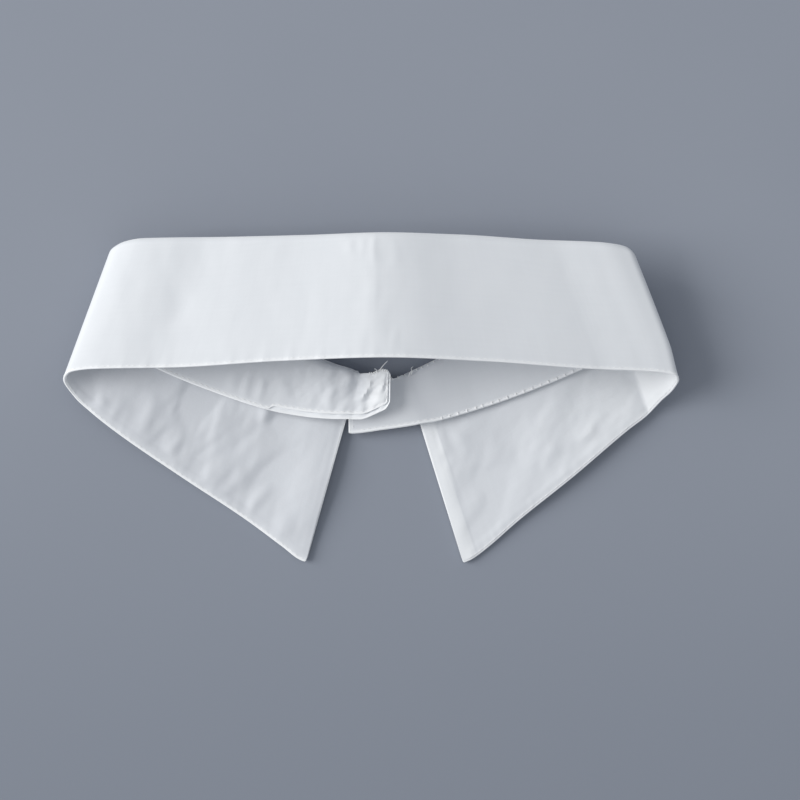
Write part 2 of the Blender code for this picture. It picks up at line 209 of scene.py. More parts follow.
# What the picture takes in, the light and the floor, in metres and watts
PHOTO_WIDTH = 0.288
CAMERA_HEIGHT = 1.0
CAMERA_X = 0.0105
WORLD_STRENGTH = 0.494
SKY_COLOUR = (0.92, 0.955, 1.0, 1.0)
KEY_PLACE = (-3.82, 0.67, 2.33)
KEY_AIM = (0.0, 0.0, 0.01)
KEY_SIZE = 3.0
KEY_POWER = 184.0
KEY_COLOUR = (1.0, 0.99, 0.965)
FLOOR_HALF = 1.5
FLOOR_Z = -0.0001

STITCH = np.linspace(-0.5, 0.5, 7)  # places along one stitch

# The two faces of every wall built, nearest the skin first
Face = namedtuple("Face", "skin grid way")
FACES = {}

# A grid of points on the collar's outer skin, with its inward normals. s: distance round the
# neck. edge: distance from the nearest free edge. low: from the lower edge. roll_at: the leaf's
# length before its roll. rolled: the length of the band that goes on round the roll.
Skin = namedtuple("Skin", "s points normals edge low roll_at rolled", defaults=(None, None))


def unit(vectors):
    """Vectors scaled to length one."""
    return vectors / np.linalg.norm(vectors, axis=-1, keepdims=True)


def smoothstep(low, high, value):
    """0 below low, 1 above high, easing between."""
    t = np.clip((value - low) / (high - low), 0, 1)
    return t * t * (3 - 2 * t)


def column(rows, *names):
    """The named columns of a table side by side."""
    return np.array([[getattr(row, name) for name in names] for row in rows])


def smooth_through(knots, values, at):
    """A curve through the values that never swings past them.

    Cubic Hermite pieces whose slope at a knot is the harmonic mean of the slopes beside it,
    or level where those slopes differ in sign, so that a flat stretch stays exactly flat.
    """
    steps = np.diff(knots)[:, None]
    slopes = np.diff(values, axis=0) / steps
    before, after = slopes[:-1], slopes[1:]
    same_way = before * after > 0
    total = np.where(same_way, before + after, 1.0)
    inner = np.where(same_way, 2 * before * after / total, 0.0)
    tangents = np.vstack([slopes[:1], inner, slopes[-1:]])
    piece = np.clip(np.searchsorted(knots, at, side="right") - 1, 0, len(knots) - 2)
    step = steps[piece]
    t = (at - knots[piece])[:, None] / step
    return ((1 + 2 * t) * (1 - t) ** 2 * values[piece]
            + t * (1 - t) ** 2 * step * tangents[piece]
            + t ** 2 * (3 - 2 * t) * values[piece + 1]
            - t ** 2 * (1 - t) * step * tangents[piece + 1])


def knots_of(*curves):
    """Distance along the mean of several curves that share their rows."""
    lengths = sum(np.linalg.norm(np.diff(curve, axis=0), axis=1) for curve in curves) / len(curves)
    return np.concatenate([[0.0], np.cumsum(lengths)])


def fine_places(start, stop, dense_start=True, dense_stop=True):
    """Places at an even step, with closer ones by the edges at either end."""
    head, tail = (np.array(EDGE_COLUMNS[:9] if dense else [0.0]) for dense in (dense_start, dense_stop))
    low, high = start + head[-1], stop - tail[-1]
    count = max(2, int(round((high - low) / ROW_STEP)))
    middle = np.linspace(low, high, count + 1)[1:-1]
    return np.concatenate([start + head, middle, (stop - tail)[::-1]])


RING_KNOTS = knots_of(column(SECTIONS, "roll_x", "roll_y", "roll_z"),
                      column(SECTIONS, "leaf_x", "leaf_y", "leaf_z"))


def ring_curves(s):
    """The roll line, its radius, the leaf's edge and the band's edge at distances s."""
    return [smooth_through(RING_KNOTS, column(SECTIONS, *names), s) for names in (
        ("roll_x", "roll_y", "roll_z"), ("roll_r",),
        ("leaf_x", "leaf_y", "leaf_z"), ("band_x", "band_y", "band_z"))]


def roll_frame(s, roll, leaf):
    """The inward normals at the roll and at the leaf's edge, and the way the roll bulges."""
    ruling = leaf - roll
    inward = unit(np.cross(np.gradient(roll, s, axis=0), ruling))
    inward_at_edge = unit(np.cross(np.gradient(leaf, s, axis=0), ruling))
    outward = unit(np.cross(np.gradient(roll, s, axis=0), inward))
    return inward, inward_at_edge, outward


def from_row(points, row):
    """Distance of grid points from an end row, each in its own column."""
    return np.linalg.norm(points - row, axis=2)


def grid_of(lines):
    """Lines of points, normals and distances as grids, and the distance from the end rows."""
    points, normals, low = (np.stack(part, axis=1) for part in zip(*lines))
    return points, normals, low[..., 0], np.minimum(*(from_row(points, points[end]) for end in (0, -1)))


def leaf_skin(trim):
    """The leaf from its free edge and round the roll to the seam; trim insets every edge.

    Straight rulings from the edge to the roll, then an arc about a centre that lies one
    radius inside the collar.
    """
    s = fine_places(RING_KNOTS[0] + trim, RING_KNOTS[-1] - trim)
    roll, radius, leaf, _ = ring_curves(s)
    inward, inward_at_edge, outward = roll_frame(s, roll, leaf)
    length = np.linalg.norm(leaf - roll, axis=1, keepdims=True)
    reach = EDGE_COLUMNS[-1]
    distances = [np.full_like(length, trim + near) for near in EDGE_COLUMNS]
    distances += [reach + trim + (length - reach - trim) * share
                  for share in np.linspace(0, 1, PANEL_COLUMNS + 1)[1:]]
    lines = []
    for distance in distances:
        share = distance / length
        lines.append((leaf + (roll - leaf) * share,
                      unit(inward_at_edge * (1 - share) + inward * share), distance))
    centre = roll + inward * radius
    for angle in np.linspace(0, SEAM_TURN, ROLL_COLUMNS + 1)[1:]:
        towards_centre = inward * math.cos(angle) - outward * math.sin(angle)
        lines.append((centre - towards_centre * radius, towards_centre, length + radius * angle))
    points, normals, low, sides = grid_of(lines)
    return Skin(s, points, normals, np.minimum(low, sides + trim), low, length[:, 0])


def band_ends(ring_top, ring_low, radius, outward, end_trim):
    """The rows past the leaf at either end: level, and with the roll shrinking to nothing.

    Each end gives its places, its line at the end of the roll, its lower line, the roll's
    radius and the way the roll bulges. The tables' top line is the outline seen from above.
    """
    ends = []
    bulge = math.sin(SEAM_TURN)
    for cuts, level, end, inset in ((LEFT_END, LEFT_END_Z, 0, end_trim),
                                    (RIGHT_END, RIGHT_END_Z, -1, 0.0)):
        top, low = column(cuts, "top_x", "top_y"), column(cuts, "low_x", "low_y")
        knots = knots_of(top, low)
        at = fine_places(0.0, knots[-1] - inset, False, True)
        top, low = (np.column_stack([smooth_through(knots, curve, at), np.full(len(at), level)])
                    for curve in (top, low))
        outline = ring_top[end] + outward[end] * radius[end] * bulge
        bridge = np.array([0.33, 0.67])[:, None]
        top = np.vstack([outline + (top[0] - outline) * bridge, top])
        low = np.vstack([ring_low[end] + (low[0] - ring_low[end]) * bridge, low])
        step = knots_of(np.vstack([outline, top]), np.vstack([ring_low[end], low]))[1:]
        shrink = 1 - smoothstep(0.0, 6.5, step)[:, None]
        away = unit(outward[end] * shrink + unit(top - low) * (1 - shrink))
        small = np.maximum(radius[end] * shrink, 0.01)
        ends.append((step, top - away * small * bulge, low, small, away))
    return ends


def band_skin(trim, end_trim=0.0):
    """The band's neck face from the seam, or its free top edge past the leaf, to its lower edge.

    Each row goes on round the roll from the seam, then straight to the lower edge. trim(s)
    insets the lower edge, and end_trim the left end.
    """
    s_ring = fine_places(RING_KNOTS[0], RING_KNOTS[-1], False, False)
    roll, radius, leaf, ring_low = ring_curves(s_ring)
    inward, _, outward = roll_frame(s_ring, roll, leaf)
    ring_top = roll + 2 * radius * inward
    left, right = band_ends(ring_top, ring_low, radius, outward, end_trim)
    s = np.concatenate([s_ring[0] - left[0][::-1], s_ring, s_ring[-1] + right[0]])
    top, low, radius, outward = (
        np.concatenate([before[::-1], ring, after]) for before, ring, after in
        zip(left[1:], (ring_top, ring_low, radius, outward), right[1:]))
    level, up = (np.tile([0.0, 0.0, 1.0], (len(end[0]), 1)) for end in (left, right))
    inward = np.vstack([level, inward, up])

    ruling = low - top
    straight = np.linalg.norm(ruling, axis=1, keepdims=True)
    rolled = radius * (math.pi - SEAM_TURN) - np.minimum(SEAM_GAP, radius * 0.5)
    length = straight + rolled
    inward_top = unit(np.cross(ruling, np.gradient(top, s, axis=0)))
    inward_low = unit(np.cross(ruling, np.gradient(low, s, axis=0)))
    in_the_ring = ((s >= s_ring[0]) & (s <= s_ring[-1]))[:, None]
    flat = np.array([0.0, 0.0, -1.0])
    inward_top = np.where(in_the_ring, inward_top, flat)
    inward_low = np.where(in_the_ring, inward_low, flat)

    inset = trim(s)[:, None]
    usable = length - inset
    low_reach, top_reach = EDGE_COLUMNS[10], SEAM_COLUMNS[-1]
    distances = [inset + gap for gap in EDGE_COLUMNS[:11]]
    distances += [inset + low_reach + (usable - low_reach - top_reach) * share
                  for share in np.linspace(0, 1, BAND_COLUMNS + 1)[1:-1]]
    distances += [length - gap for gap in SEAM_COLUMNS[::-1]]
    lines = []
    for distance in distances[::-1]:
        share = 1 - np.minimum(distance / straight, 1)
        angle = math.pi - np.maximum(distance - straight, 0) / radius
        towards_centre = inward * np.cos(angle) - outward * np.sin(angle)
        on_the_roll = distance > straight
        square = unit(inward_top * (1 - share) + inward_low * share)
        bend = smoothstep(0.0, 2.5, straight - distance)
        lines.append((
            np.where(on_the_roll, top - inward * radius - towards_centre * radius, top + ruling * share),
            np.where(on_the_roll, towards_centre, unit(square * bend - inward * (1 - bend))),
            distance - inset))
    points, normals, from_low, sides = grid_of(lines)
    free_top = np.where(in_the_ring, 99.0, from_low[:, :1] - from_low)
    edge = np.minimum(np.minimum(from_low, sides), free_top)
    return Skin(s, points, normals, edge, from_low, rolled=rolled)


def crease_place(crease, x, y):
    """Where points lie by a crease: share along its run, distance across it, and its length."""
    run_x, run_y = crease.to_x - crease.from_x, crease.to_y - crease.from_y
    from_x, from_y = x - crease.from_x, y - crease.from_y
    length = math.hypot(run_x, run_y)
    return ((from_x * run_x + from_y * run_y) / length ** 2,
            (from_x * run_y - from_y * run_x) / length, length)


def crease_height(creases, x, y):
    """The sum of the creases: a bell across each bowed run that fades softly past its ends."""
    total = np.zeros_like(x)
    for turn, crease in enumerate(creases):
        along, across, length = crease_place(crease, x, y)
        across = across + (-1) ** turn * 0.08 * length * (4 * (along - 0.5) ** 2 - 0.5)
        width = crease.width * (0.8 + 0.5 * np.clip(along, 0, 1))
        fade = np.exp(-1.3 * np.abs(2 * along - 1) ** 3)
        total += crease.height * fade * np.exp(-(across / width) ** 2)
    return total


def drift(x, y, seed, size, lean=50.0, lengths=(3.5, 15.0)):
    """An unevenness of the cloth that leans one way: many short sharp-topped ridges.

    Every wave has its own length and turn about the lean, is narrower at its top than in its
    hollow, and is multiplied by a longer one that crosses it, so that no ridge runs far.
    """
    chance = np.random.default_rng(seed)
    total = np.zeros_like(x)
    for _ in range(18):
        turn = math.radians(chance.normal(lean - 90, 20))
        length = lengths[0] + (lengths[1] - lengths[0]) * chance.uniform() ** 1.4
        wave = (x * math.cos(turn) + y * math.sin(turn)) * math.pi / length
        cross = (y * math.cos(turn) - x * math.sin(turn)) * math.tau / length / chance.uniform(2.5, 4.5)
        ridge = 0.64 - np.abs(np.sin(wave + chance.uniform(0, math.tau)))
        total += ridge * np.sin(cross + chance.uniform(0, math.tau)) * length
    return total * size / lengths[1]


def puckers(skin, seed, spacing, reach, strength):
    """Small ridges square to the lower edge, unevenly spaced, dying away into the panel."""
    chance = np.random.default_rng(seed)
    total = np.zeros_like(skin.low)
    place = skin.s.min()
    while place < skin.s.max():
        width, height = chance.uniform(0.8, 1.7), chance.uniform(0.25, 1.0)
        total += height * np.exp(-((skin.s - place) / width) ** 2)[:, None]
        place += spacing * chance.uniform(0.55, 1.5)
    return total * strength * np.exp(-skin.low / reach)


def rounding(edge):
    """How far a face draws back beside a free edge, a quarter circle deep."""
    near = np.clip(1 - edge / EDGE_ROUND, 0, 1)
    return EDGE_ROUND * (1 - np.sqrt(1 - near ** 2))


def turnings(skin):
    """The extra thickness of the seam allowances lying inside the edges.

    The allowance down the right front edge is thicker: its strip shows beside that edge.
    """
    extra = TURNING_EXTRA * (1 - smoothstep(TURNING_WIDTH - 1.0, TURNING_WIDTH + 0.4, skin.edge))
    if skin.roll_at is None:
        return extra
    from_front = from_row(skin.points, skin.points[-1])
    return extra + FRONT_TURNING_EXTRA * (1 - smoothstep(4.4, 5.6, from_front))


def up_the_leaf(skin):
    """0 at the leaf's free edge to 1 at its roll, and 1 all over the band."""
    return 1.0 if skin.roll_at is None else np.clip(skin.low / skin.roll_at[:, None], 0, 1)


def rise(skin):
    """How far each place stands up from the solid's form: eased round the neck and up the leaf."""
    along = column(RISES, "along")[:, 0]
    at_edge, at_roll = smooth_through(along, column(RISES, "at_edge", "at_roll"), skin.s).T
    return at_edge[:, None] + (at_roll - at_edge)[:, None] * up_the_leaf(skin)


def roll_painted_highlight(skin):
    """The leaf's cloth is painted whiter where it goes over the roll: a painted highlight."""
    if skin.roll_at is None:
        return 0.0
    return smoothstep(1.2, 3.4, skin.low - skin.roll_at[:, None])


def side_bow(skin):
    """How far the right side stands out: rising quickly from the leaf's edge up to the roll."""
    share = up_the_leaf(skin)
    out = SIDE_BOW * smoothstep(0.0, 0.3, share) + 0.25 * np.sin(math.pi * share)
    return out * np.exp(-((skin.s - SIDE_BOW_AT) / 13.0) ** 2)[:, None]


def put(name, data):
    """A new object in the scene that holds this data."""
    made = bpy.data.objects.new(name, data)
    bpy.context.scene.collection.objects.link(made)
    return made


def new_piece(name, verts, corners, starts, look):
    """A piece from points in millimetres, its faces' corners in one run, and where each starts."""
    mesh = bpy.data.meshes.new(name)
    mesh.vertices.add(len(verts))
    mesh.vertices.foreach_set("co", (verts * MM).ravel())
    mesh.loops.add(len(corners))
    mesh.loops.foreach_set("vertex_index", corners)
    mesh.polygons.add(len(starts))
    mesh.polygons.foreach_set("loop_start", starts)
    mesh.update(calc_edges=True)
    mesh.materials.append(look)
    made = put(name, mesh)
    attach(made, "root")
    return made


def wall(name, skin, outer, inner, lift, plies_and_painted_light, look):
    """A closed wall of cloth between two depths in from the skin, raised by lift.

    lift is a height towards the viewer's side of the panel, so it follows the normal's slope.
    The whiteness given is 1 where several plies lie together and the cloth looks whiter, 0 where
    fewer do, and above 1 where it is as white as an edge; besides the plies it holds painted shade
    and painted highlight.
    The two faces are kept as FACES[name], for the sewing that lies on them.
    """
    rows, columns = skin.points.shape[:2]
    raised = skin.points + skin.normals * (skin.normals[..., 2:] * lift[..., None])
    raised[..., 2] += rise(skin)
    raised[..., 0] += side_bow(skin)
    raised[..., :2] -= OUTLINE_MIDDLE
    face_out = raised + skin.normals * outer[..., None]
    face_in = raised + skin.normals * inner[..., None]
    for face in (face_out, face_in):
        face[..., 2] = np.maximum(face[..., 2], LOWEST)
    FACES[name] = Face(skin, face_out, -1), Face(skin, face_in, 1)
    verts = np.concatenate([face_out.reshape(-1, 3), face_in.reshape(-1, 3)])
    back = rows * columns
    index = np.arange(back).reshape(rows, columns)
    near = np.stack([index[:-1, :-1], index[:-1, 1:], index[1:, 1:], index[1:, :-1]],
                    axis=-1).reshape(-1, 4)
    rim = np.concatenate([index[0, :-1], index[:-1, -1], index[-1, :0:-1], index[:0:-1, 0]])
    after = np.roll(rim, -1)
    band = np.stack([rim, rim + back, after + back, after], axis=-1)
    corners = np.concatenate([near, near[:, ::-1] + back, band]).ravel()
    made = new_piece(name, verts, corners, np.arange(0, corners.size, 4), look)
    mesh = made.data
    across = np.broadcast_to(skin.s[:, None], skin.edge.shape).ravel()
    flat = np.column_stack([np.tile(across, 2), np.tile(skin.low.ravel(), 2)]) * MM
    mesh.uv_layers.new(name="cloth").data.foreach_set("uv", flat[corners].ravel())
    # Whiter by folded edges and over the roll: partly the folded cloth, partly painted highlight, and
    # where the whiteness runs above 1, painted highlight too.
    whiter = np.maximum(np.clip(1.2 - skin.edge / 1.3, 0, 1), roll_painted_highlight(skin))
    whiter = np.maximum(whiter, np.clip(plies_and_painted_light - 1.0, 0, 1))
    # The second attribute holds the plies' whiteness together with painted shade and painted highlight.
    for label, values in (("edge_white_and_highlight", whiter), ("plies_and_painted_light", plies_and_painted_light)):
        mesh.attributes.new(label, "FLOAT", "POINT").data.foreach_set(
            "value", np.tile(np.broadcast_to(values, skin.edge.shape).ravel(), 2))
    mesh.validate()
    mesh.shade_smooth()
    mesh.set_sharp_from_angle(angle=math.radians(40))
    return made


def crest_line(x, y):
    """The pressed fold down the middle of the back: a low ridge with a sharp top."""
    return 0.16 * np.exp(-np.abs(x - 1.9 - 0.35 * np.sin(y / 5.0)) / 1.7)


def corner_folds(x, y):
    """Sharp inward folds where the leaf turns up at both corners: troughs with a sharp bottom."""
    total = np.zeros_like(x)
    for fold in CORNER_FOLDS:
        along, across, _ = crease_place(fold, x, y)
        fade = smoothstep(-0.5, 0.1, along) * (1 - smoothstep(0.95, 1.25, along))
        total += fold.height * fade * np.exp(-np.abs(across) / fold.width)
    return total


def leaf_lift(skin, on_the_floor):
    """The leaf's creases: those of the back, or of the front points' underside.

    Both plies of the front rise a little off the floor: the left point under its front edge
    and the right one along its long edge. The under collar also stands off the upper one.
    """
    x, y, up = skin.points[..., 0], skin.points[..., 1], skin.normals[..., 2]
    s, share = skin.s[:, None], up_the_leaf(skin)
    back = smoothstep(0.2, 0.8, -up) * smoothstep(98, 112, s) * (1 - smoothstep(316, 330, s))
    front = smoothstep(0.5, 0.95, up)
    edge_puckers = 0.32 * smoothstep(108, 125, s) * (1 - 0.65 * smoothstep(200, 240, s))
    back_height = (crease_height(BACK_CREASES, x, y) * 0.6
                   + drift(x, y, 11, 0.05, 85.0, (6.0, 22.0)) * (1 - 0.6 * smoothstep(0, 20, x))
                   + crest_line(x, y) + puckers(skin, 5, 6.0, 2.6, edge_puckers))
    left_arch = 1.9 * np.exp(-(s / 17) ** 2) * np.sin(math.pi * share) ** 2
    right_arch = 1.1 * np.exp(-((s - 368) / 26) ** 2) * np.exp(-(share / 0.4) ** 2)
    lift = back * back_height + front * (left_arch + right_arch + corner_folds(x, y))
    if on_the_floor:
        return lift
    patchy = 0.35 + 0.65 * smoothstep(-0.5, 0.9, np.sin(x / 11.0 + 1.0) + np.sin(y / 8.0 - x / 19.0))
    under = (crease_height(UNDERSIDE_CREASES, x, y) + patchy * drift(x, y, 23, 0.17)
             + drift(x, y, 61, 0.42, 48.0, (16.0, 46.0))) * np.where(x < 0, LEFT_CRUMPLE, 1.0)
    return lift + front * (smoothstep(0.2, 6.0, skin.edge) * np.maximum(under + UNDER_PUFF, 0.02)
                           + smoothstep(0.1, 1.2, skin.edge) * puckers(skin, 9, 4.6, 2.8, 0.26))


def leaf_plies_and_painted_light(skin):
    """How white the under collar shows: by its seam turnings near the edges, with painted highlight beyond
    the right corner's fold and on the right front strip, and the table's painted shade and highlight round
    the neck.
    """
    _, across, _ = crease_place(CORNER_FOLDS[0], skin.points[..., 0], skin.points[..., 1])
    # Painted highlight on the corner beyond the right fold, where it faces the lamp.
    painted_corner_highlight = 1.6 * (1 - smoothstep(-0.6, 0.4, across))
    # The strip by the right front edge: its turning beneath, and painted highlight where it faces the
    # lamp.
    front = 1.35 * (1 - smoothstep(4.4, 5.4, from_row(skin.points, skin.points[-1])))
    most = np.maximum(np.maximum(0.8 - skin.edge / 5.0, painted_corner_highlight), front)
    return np.maximum(most, np.interp(skin.s, *zip(*LEAF_PLIES_AND_PAINTED_LIGHT))[:, None])


def declare(node):
    """Hide the imported solid that a sheet of cloth replaces."""
    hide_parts(node)


def build_leaf(cloth):
    """Upper collar, turned over the edge, and under collar, set in from it."""
    skin = leaf_skin(0.0)
    depth = rounding(skin.edge)
    half = PLY + turnings(skin)
    wrap = 2 * half - depth - 0.10
    meet = np.where(skin.edge < FAVOUR, wrap,
                    half + (wrap - half) * (1 - smoothstep(FAVOUR, FAVOUR + 0.5, skin.edge)))
    upper = wall("upper_collar_cloth", skin, depth, meet, leaf_lift(skin, True), 1.0, cloth)
    declare("upper_collar")

    skin = leaf_skin(FAVOUR)
    inset = skin.edge - FAVOUR
    half = PLY + turnings(skin)
    near = half + 0.03 + (half - 0.12) * (1 - smoothstep(0.0, 0.5, inset))
    far = np.maximum(2 * half + 0.02 - 0.25 * rounding(np.maximum(inset, 0.0)), near + 0.04)
    under = wall("under_collar_cloth", skin, near, far, leaf_lift(skin, False), leaf_plies_and_painted_light(skin), cloth)
    declare("under_collar")


def band_lift(skin):
    """The band's creases, in front on its neck face and at the back where it hides."""
    x, y, up = skin.points[..., 0], skin.points[..., 1], skin.normals[..., 2]
    front, back = smoothstep(0.4, 0.9, -up), smoothstep(0.4, 0.9, up)
    from_seam = skin.low[:, :1] - skin.low
    calm = smoothstep(0.0, 3.0, from_seam) * smoothstep(0.0, 2.2, skin.low)
    ends = (skin.s < RING_KNOTS[0]) | (skin.s > RING_KNOTS[-1])
    calm = np.where(ends[:, None], smoothstep(0.0, 1.4, skin.edge), calm)
    crinkled = (1 - smoothstep(8.0, 58.0, skin.s))[:, None]
    near_end = (1 - smoothstep(-6.0, 1.0, skin.s))[:, None]
    height = front * (crease_height(FRONT_BAND_CREASES, x, y)
                      + crinkled * drift(x, y, 31, 0.16, 62.0, (2.0, 8.0))
                      + near_end * drift(x, y, 53, 0.24, 66.0, (1.2, 4.5)))
    height = height + back * (crease_height(BACK_BAND_CREASES, x, y)
                              + drift(x, y, 37, 0.08, 80.0, (6.0, 20.0)))
    sunk = front * np.exp(-((skin.edge - 1.0) / 0.4) ** 2) * 0.10
    return height * calm - sunk


def band_depth(skin):
    """How deep the neck face lies below the skin: level with the leaf at the seam, then lower."""
    from_top = skin.low[:, :1] - skin.low
    down_the_roll = np.clip(from_top / skin.rolled, 0, 1)
    share = np.clip((from_top - skin.rolled) / (skin.low[:, :1] - skin.rolled), 0, 1)
    at_edge = np.interp(skin.s, column(BAND_SAG, "along")[:, 0], column(BAND_SAG, "depth")[:, 0])
    past = np.maximum(RING_KNOTS[0] - skin.s, skin.s - RING_KNOTS[-1])[:, None]
    level = smoothstep(-15.0, 0.5, past)
    below_seam = np.maximum(smoothstep(0.0, 1.0, down_the_roll), smoothstep(0.0, 5.0, past))
    return at_edge[:, None] * (level * below_seam + (1 - level) * smoothstep(0.0, 0.85, share))


def lower_ledge(s):
    """How far the neck-side ply stops above the other's lower edge: a ledge on the left end."""
    return 0.2 + 1.6 * (1 - smoothstep(30.0, 31.8, s))


def band_plies_and_painted_light(skin):
    """How white the neck face shows, from the seam to the lower edge: partly its plies, partly painted
    shade beside the left end and under the back, and painted highlight.
    """
    s, at_seam, at_low = np.array(BAND_PLIES_AND_PAINTED_LIGHT).T
    share = (1 - skin.low / skin.low[:, :1]) ** 2
    at_seam, at_low = (np.interp(skin.s, s, value)[:, None] for value in (at_seam, at_low))
    return at_seam + (at_low - at_seam) * share


def build_band(cloth):
    """The band's outer ply, which shows as a ledge along the lower edge, and its neck-side ply."""
    skin = band_skin(lambda s: 0.0 * s)
    depth, half = band_depth(skin), PLY + turnings(skin)
    outer = wall("outer_stand_cloth", skin, depth + half + 0.03,
                 depth + 2 * half + 0.03 - rounding(skin.edge), band_lift(skin), 1.0, cloth)

    skin = band_skin(lower_ledge, LEFT_END_LEDGE)
    depth, half = band_depth(skin), PLY + turnings(skin)
    inner = wall("inner_stand_cloth", skin, depth + 0.6 * rounding(skin.edge), depth + half,
                 band_lift(skin), band_plies_and_painted_light(skin), cloth)
    declare("inner_stand")
    declare("outer_stand")


def on_face(face, s, low):
    """Points of a built face, by distance round the neck and distance in from the lower edge."""
    skin, grid, _ = face
    s, low = np.broadcast_arrays(s, low)
    row = np.interp(s, skin.s, np.arange(len(skin.s)))
    first = np.clip(row.astype(int), 0, len(skin.s) - 2)
    part = (row - first)[:, None]
    found = []
    for rows in (first, first + 1):
        here = []
        for at, distance in zip(rows, low):
            along = skin.low[at]
            order = slice(None) if along[-1] > along[0] else slice(None, None, -1)
            place = np.interp(distance, along[order], np.arange(len(along))[order])
            left = min(int(place), len(along) - 2)
            here.append(grid[at, left] * (left + 1 - place) + grid[at, left + 1] * (place - left))
        found.append(np.array(here))
    return found[0] * (1 - part) + found[1] * part


def path_on(face, s, low):
    """A path on a face and the outward normals under it, from nearby points each way."""
    s, low = np.broadcast_arrays(s, low)
    round_neck = on_face(face, s + 0.3, low) - on_face(face, s - 0.3, low)
    upward = on_face(face, s, low + 0.25) - on_face(face, s, low - 0.25)
    normals = unit(np.cross(round_neck, upward))
    rows = np.clip(np.searchsorted(face.skin.s, s), 0, len(face.skin.s) - 1)
    columns = np.abs(face.skin.low[rows] - low[:, None]).argmin(axis=1)
    out = face.skin.normals[rows, columns] * face.way
    return on_face(face, s, low), normals * np.sign((normals * out).sum(axis=1, keepdims=True))


def threads(name, strands, look):
    """Many short round threads as one mesh.

    strands holds centres and normals, as arrays of threads by rings, and the ring radii. Each
    ring is six points round its centre, square to the run of the centres, and the ends are capped.
    """
    centres, normals, radii = strands
    run = unit(np.gradient(centres, axis=1))
    side = unit(np.cross(run, normals))
    up = np.cross(side, run)
    count, rings = centres.shape[:2]
    turn = np.arange(6) * math.tau / 6
    around = (up[:, :, None] * np.cos(turn)[:, None] + side[:, :, None] * np.sin(turn)[:, None])
    verts = (centres[:, :, None] + around * radii[..., None, None]).reshape(-1, 3)
    index = np.arange(count * rings * 6).reshape(count, rings, 6)
    after = np.roll(index, -1, axis=2)
    quads = np.stack([index[:, :-1], index[:, 1:], after[:, 1:], after[:, :-1]], axis=-1)
    quads = quads.reshape(-1, 4)[:, ::-1]
    caps = np.concatenate([index[:, 0], index[:, -1, ::-1]])[:, ::-1]
    starts = np.concatenate([np.arange(len(quads)) * 4, quads.size + np.arange(len(caps)) * 6])
    made = new_piece(name, verts, np.concatenate([quads.ravel(), caps.ravel()]), starts, look)
    made.data.validate()
    made.data.shade_smooth()


def joined(groups):
    """Several groups of strands as one."""
    return [np.concatenate(parts) for parts in zip(*groups)]


def on_curves(at, along, *curves):
    """Each curve's values at distances along it."""
    return [np.stack([np.interp(at, along, curve[:, axis]) for axis in range(3)], axis=-1)
            for curve in curves]


def bowed(centres, ups, radius):
    """Stitches that bow up from the cloth and dip into it at both ends."""
    centres = centres + ups * (radius * (0.55 - 1.5 * (2 * STITCH) ** 4))[:, None]
    radii = np.broadcast_to(radius * np.sqrt(1.04 - (2 * STITCH) ** 6), centres.shape[:2])
    return centres, np.broadcast_to(ups, centres.shape), radii


def stitches(paths, pitch, length, radius, seed):
    """Stitches in line along paths, unevenly long and spaced."""
    chance = np.random.default_rng(seed)
    found = []
    for points, normals in paths:
        along = knots_of(points)
        middles = np.arange(pitch * 0.6, along[-1] - pitch * 0.5, pitch)
        middles = middles + chance.normal(0, pitch * 0.05, len(middles))
        at = middles[:, None] + STITCH * length * chance.uniform(0.85, 1.1, len(middles))[:, None]
        centres, ups = on_curves(at, along, points, normals)
        found.append(bowed(centres, unit(ups), radius))
    return joined(found)


def cross_stitches(path, inward, pitch, length, radius, seed):
    """Short stitches lying across a path, as where an edge is whipped or a buttonhole worked."""
    chance = np.random.default_rng(seed)
    along = knots_of(path[0])
    middles = np.arange(pitch * 0.5, along[-1], pitch)
    middles = middles + chance.normal(0, pitch * 0.08, len(middles))
    centres, ups, ways = (part[:, None] for part in on_curves(middles, along, *path, inward))
    reach = length * chance.uniform(0.8, 1.15, len(middles))[:, None, None]
    return bowed(centres + unit(ways) * STITCH[:, None] * reach, unit(ups), radius)


def top_of(face, s):
    """The distance from the lower edge to the top edge of a built face, at s."""
    return np.interp(s, face.skin.s, face.skin.low.max(axis=1))


def build_sewing(look):
    """The stitch rows that show, the button's threads, its buttonhole and the loose ends."""
    leaf_outer, leaf_under = FACES["upper_collar_cloth"][0], FACES["under_collar_cloth"][1]
    neck, outer_stand = FACES["inner_stand_cloth"][0], FACES["outer_stand_cloth"][1]
    run = np.arange(2.0, RING_KNOTS[-1] - 2.0, 1.0)
    threads("leaf_edge_stitches", stitches([path_on(leaf_under, run, 1.0), path_on(leaf_outer, run, 1.0)],
                                           2.2, 1.4, 0.085, 41), look)

    first, last = neck.skin.s[0], neck.skin.s[-1]
    run = np.arange(first + 2.0, last - 2.0, 1.0)
    rows = [path_on(neck, run, 0.95), path_on(outer_stand, run, 1.3)]
    for at in (first + 0.7, last - 1.6):
        rows.append(path_on(neck, at, np.arange(0.9, top_of(neck, at) - 0.8, 0.6)))
    threads("band_stitches", stitches(rows, 2.3, 1.5, 0.12, 43), look)

    run = np.arange(338.0, 411.0, 1.0)
    path = path_on(neck, run, 0.55)
    threads("right_edge_whipping",
            cross_stitches(path, on_face(neck, run, 1.5) - path[0], 3.1, 1.3, 0.22, 47), look)
    whipped = []
    for run, pitch, length, seed in ((np.arange(first + 0.5, first + 9.5, 0.5), 0.75, 1.15, 53),
                                     (np.arange(376.0, last - 9.0, 1.0), 2.3, 0.9, 54)):
        top = top_of(neck, run) - 0.45
        path = path_on(neck, run, top)
        inward = path[0] - on_face(neck, run, top - 0.8)
        whipped.append(cross_stitches(path, inward, pitch, length, 0.24, seed))
    threads("tab_top_whipping", joined(whipped), look)
    build_button_threads(look)
    build_loose_ends(look)


